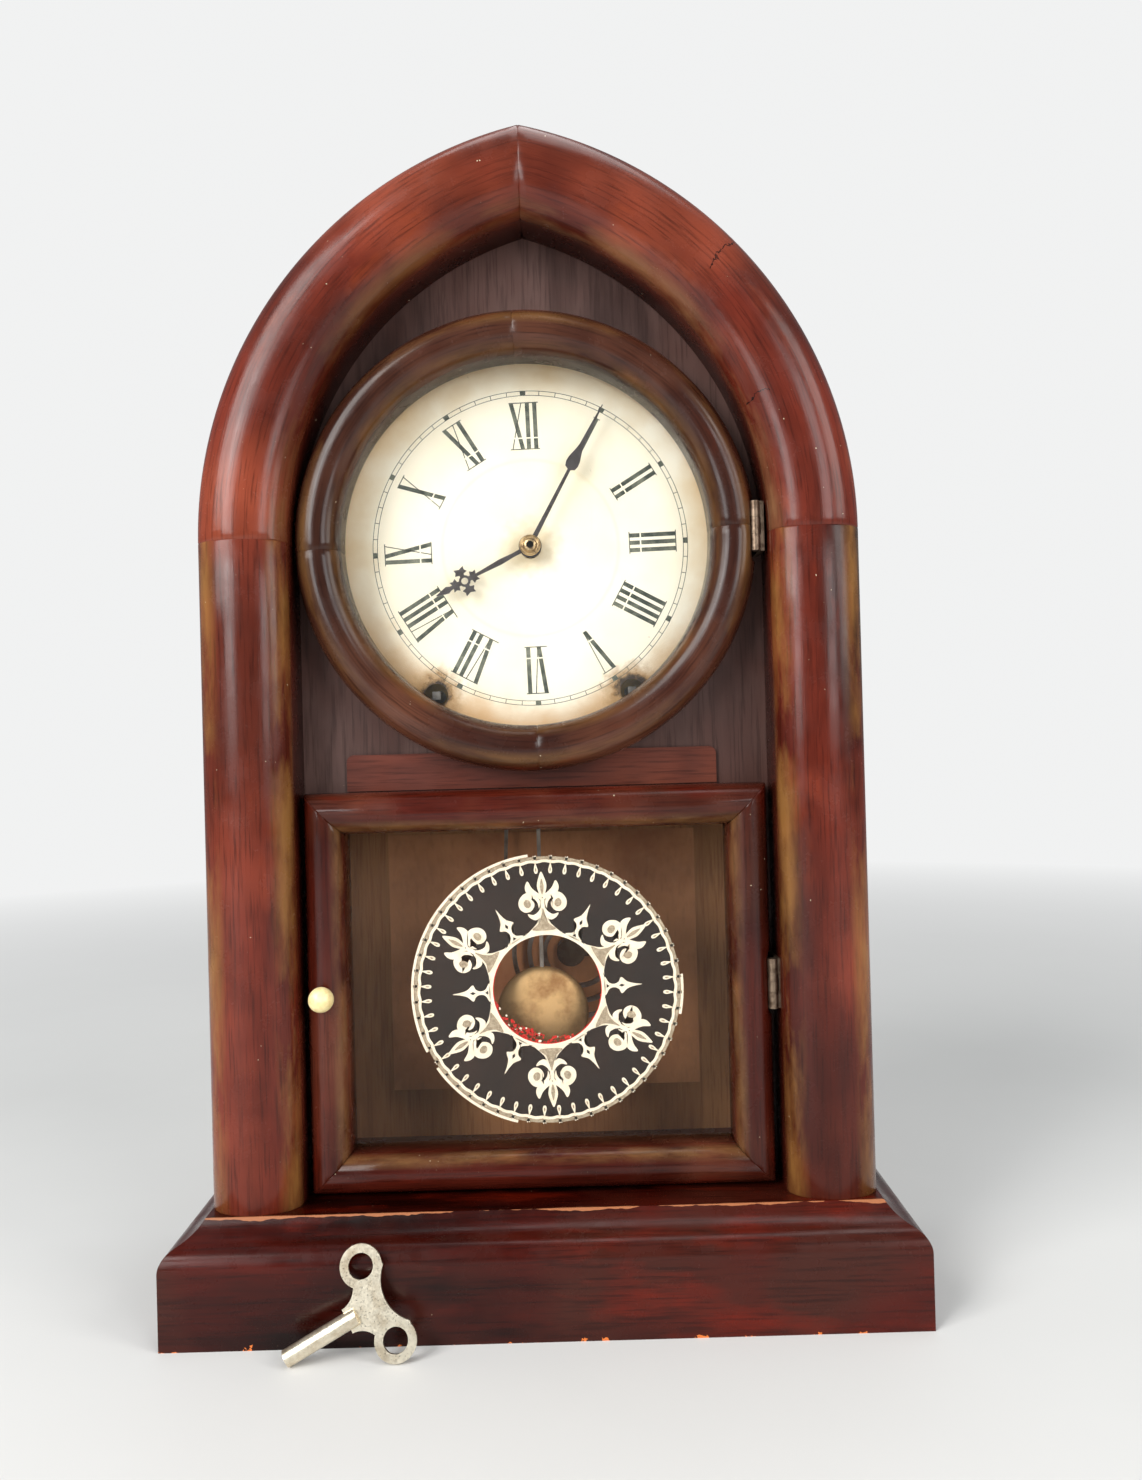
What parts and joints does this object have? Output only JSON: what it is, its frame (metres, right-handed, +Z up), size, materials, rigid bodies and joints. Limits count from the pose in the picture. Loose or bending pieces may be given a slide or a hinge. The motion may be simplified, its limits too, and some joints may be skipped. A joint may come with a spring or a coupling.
{
  "type": "gothic mantel clock",
  "caption": "Mantel clock with a pointed arch case of half-round mouldings, round dial door, square lower door with a painted glass, pendulum and a winged key",
  "frame": {"origin": "centre of the underside of the plinth", "axes": "+X right seen from the front, +Y to the back, +Z up"},
  "size_m": [0.292, 0.1231, 0.472],
  "materials": {
    "base_wood": "worn gloss varnish",
    "case_wood": "gloss varnish",
    "board_wood": "dull dark stain",
    "bezel_wood": "gloss varnish",
    "door_wood": "gloss varnish",
    "clear_glass": "clear",
    "dial_paint": "aged white paint",
    "aged_paper": "aged paper",
    "hinge_metal": "worn",
    "bone": "turned bone",
    "brass": "dull",
    "hand_steel": "dark",
    "steel": "plain",
    "iron": "dull",
    "nickel": "worn nickel"
  },
  "bodies": {
    "case": {"arch_moulding_left": "case_wood", "arch_moulding_right": "case_wood", "back_plate": "brass", "backboard": "board_wood", "base_back_rail": "base_wood", "base_front_rail": "base_wood", "base_side_left": "base_wood", "base_side_right": "base_wood", "case_floor": "base_wood", "case_hinges": "hinge_metal", "case_side_left": "case_wood", "case_side_right": "case_wood", "column_left": "case_wood", "column_right": "case_wood", "dial_plate": "dial_paint", "front_board": "board_wood", "front_plate": "brass", "gong_base": "iron", "gong_coil": "steel", "paper_label": "aged_paper", "sill_strip": "board_wood", "strike_mainspring": "steel", "time_mainspring": "steel"},
    "round_door": {"bezel_upper_right": "bezel_wood", "bezel_upper_left": "bezel_wood", "bezel_lower_left": "bezel_wood", "bezel_lower_right": "bezel_wood", "bezel_glass": "clear_glass", "upper_hinge_door": "hinge_metal"},
    "lower_door": {"door_stile_left": "door_wood", "door_stile_right": "door_wood", "door_rail_bottom": "door_wood", "door_rail_top": "door_wood", "tablet_glass": "clear_glass", "tablet_beads": "board_wood", "lower_hinge_door": "hinge_metal"},
    "knob": {"door_knob": "bone", "knob_stem": "steel"},
    "minute": {"centre_arbor": "steel", "minute_hand": "hand_steel", "hand_nut": "brass"},
    "hour": {"hour_wheel": "brass", "hour_hand": "hand_steel"},
    "motion": {"minute_wheel": "brass"},
    "time_great": {"time_great_wheel": "brass"},
    "time_winder": {"time_winding_arbor": "steel"},
    "time_second": {"time_second_wheel": "brass"},
    "time_centre": {"time_centre_wheel": "brass"},
    "escape": {"escape_wheel": "brass"},
    "strike_great": {"strike_great_wheel": "brass"},
    "strike_winder": {"strike_winding_arbor": "steel"},
    "strike_second": {"strike_second_wheel": "brass"},
    "hammer": {"strike_hammer": "steel"},
    "anchor": {"verge": "steel"},
    "pendulum": {"pendulum_rod": "steel", "pendulum_bob": "brass", "rating_nut": "brass"},
    "key": {"winding_key": "nickel"}
  },
  "joints": [
    {"name": "round_door_hinge", "type": "hinge", "parent": "case", "child": "round_door", "pos_m": [0.0912, -0.025, 0.3102], "axis": [0, 0, 1], "range_deg": [0, 85]},
    {"name": "lower_door_hinge", "type": "hinge", "parent": "case", "child": "lower_door", "pos_m": [0.0934, -0.025, 0.1262], "axis": [0, 0, 1], "range_deg": [0, 85]},
    {"name": "knob_turn", "type": "hinge", "parent": "lower_door", "child": "knob", "pos_m": [-0.0868, -0.027, 0.1257], "axis": [0, 1, 0], "range_deg": [0, 90]},
    {"name": "minute_turn", "type": "hinge", "parent": "case", "child": "minute", "pos_m": [0, 0.02, 0.3075], "axis": [0, 1, 0], "continuous": true},
    {"name": "hour_turn", "type": "hinge", "parent": "case", "child": "hour", "pos_m": [0, 0.02, 0.3075], "axis": [0, 1, 0], "continuous": true},
    {"name": "minute_wheel_turn", "type": "hinge", "parent": "case", "child": "motion", "pos_m": [0.01043, 0.02, 0.29536], "axis": [0, 1, 0], "continuous": true},
    {"name": "time_second_turn", "type": "hinge", "parent": "case", "child": "time_second", "pos_m": [0.02424, 0.02, 0.28034], "axis": [0, 1, 0], "continuous": true},
    {"name": "time_great_turn", "type": "hinge", "parent": "case", "child": "time_great", "pos_m": [0.0413, 0.02, 0.2463], "axis": [0, 1, 0], "continuous": true},
    {"name": "time_centre_turn", "type": "hinge", "parent": "case", "child": "time_centre", "pos_m": [0, 0.02, 0.3075], "axis": [0, 1, 0], "continuous": true},
    {"name": "escape_turn", "type": "hinge", "parent": "case", "child": "escape", "pos_m": [0, 0.02, 0.3299], "axis": [0, 1, 0], "continuous": true},
    {"name": "time_winding", "type": "hinge", "parent": "case", "child": "time_winder", "pos_m": [0.0413, 0.02, 0.2463], "axis": [0, 1, 0], "continuous": true},
    {"name": "strike_second_turn", "type": "hinge", "parent": "case", "child": "strike_second", "pos_m": [-0.0413, 0.02, 0.28438], "axis": [0, 1, 0], "continuous": true},
    {"name": "strike_great_turn", "type": "hinge", "parent": "case", "child": "strike_great", "pos_m": [-0.0413, 0.02, 0.2463], "axis": [0, 1, 0], "continuous": true},
    {"name": "strike_winding", "type": "hinge", "parent": "case", "child": "strike_winder", "pos_m": [-0.0413, 0.02, 0.2463], "axis": [0, 1, 0], "continuous": true},
    {"name": "hammer_swing", "type": "hinge", "parent": "case", "child": "hammer", "pos_m": [-0.012, 0.03, 0.268], "axis": [0, 1, 0], "range_deg": [0, 10]},
    {"name": "pendulum_swing", "type": "hinge", "parent": "case", "child": "pendulum", "pos_m": [0, 0.005, 0.352], "axis": [0, 1, 0], "range_deg": [-3, 3]},
    {"name": "verge_swing", "type": "hinge", "parent": "case", "child": "anchor", "pos_m": [0, 0.02, 0.352], "axis": [0, 1, 0], "range_deg": [-3, 3]},
    {"name": "key_lift", "type": "slide", "parent": "case", "child": "key", "axis": [0, -0.6, 0.8], "range_m": [0, 0.08]}
  ],
  "couplings": [
    {"joint": "hour_turn", "follows": "minute_turn", "ratio": 0.083333},
    {"joint": "minute_wheel_turn", "follows": "minute_turn", "ratio": -0.33333},
    {"joint": "time_great_turn", "follows": "time_second_turn", "ratio": -0.16667},
    {"joint": "time_centre_turn", "follows": "time_second_turn", "ratio": -6},
    {"joint": "escape_turn", "follows": "time_second_turn", "ratio": 36},
    {"joint": "strike_great_turn", "follows": "strike_second_turn", "ratio": -0.16667},
    {"joint": "verge_swing", "follows": "pendulum_swing", "ratio": 1}
  ]
}
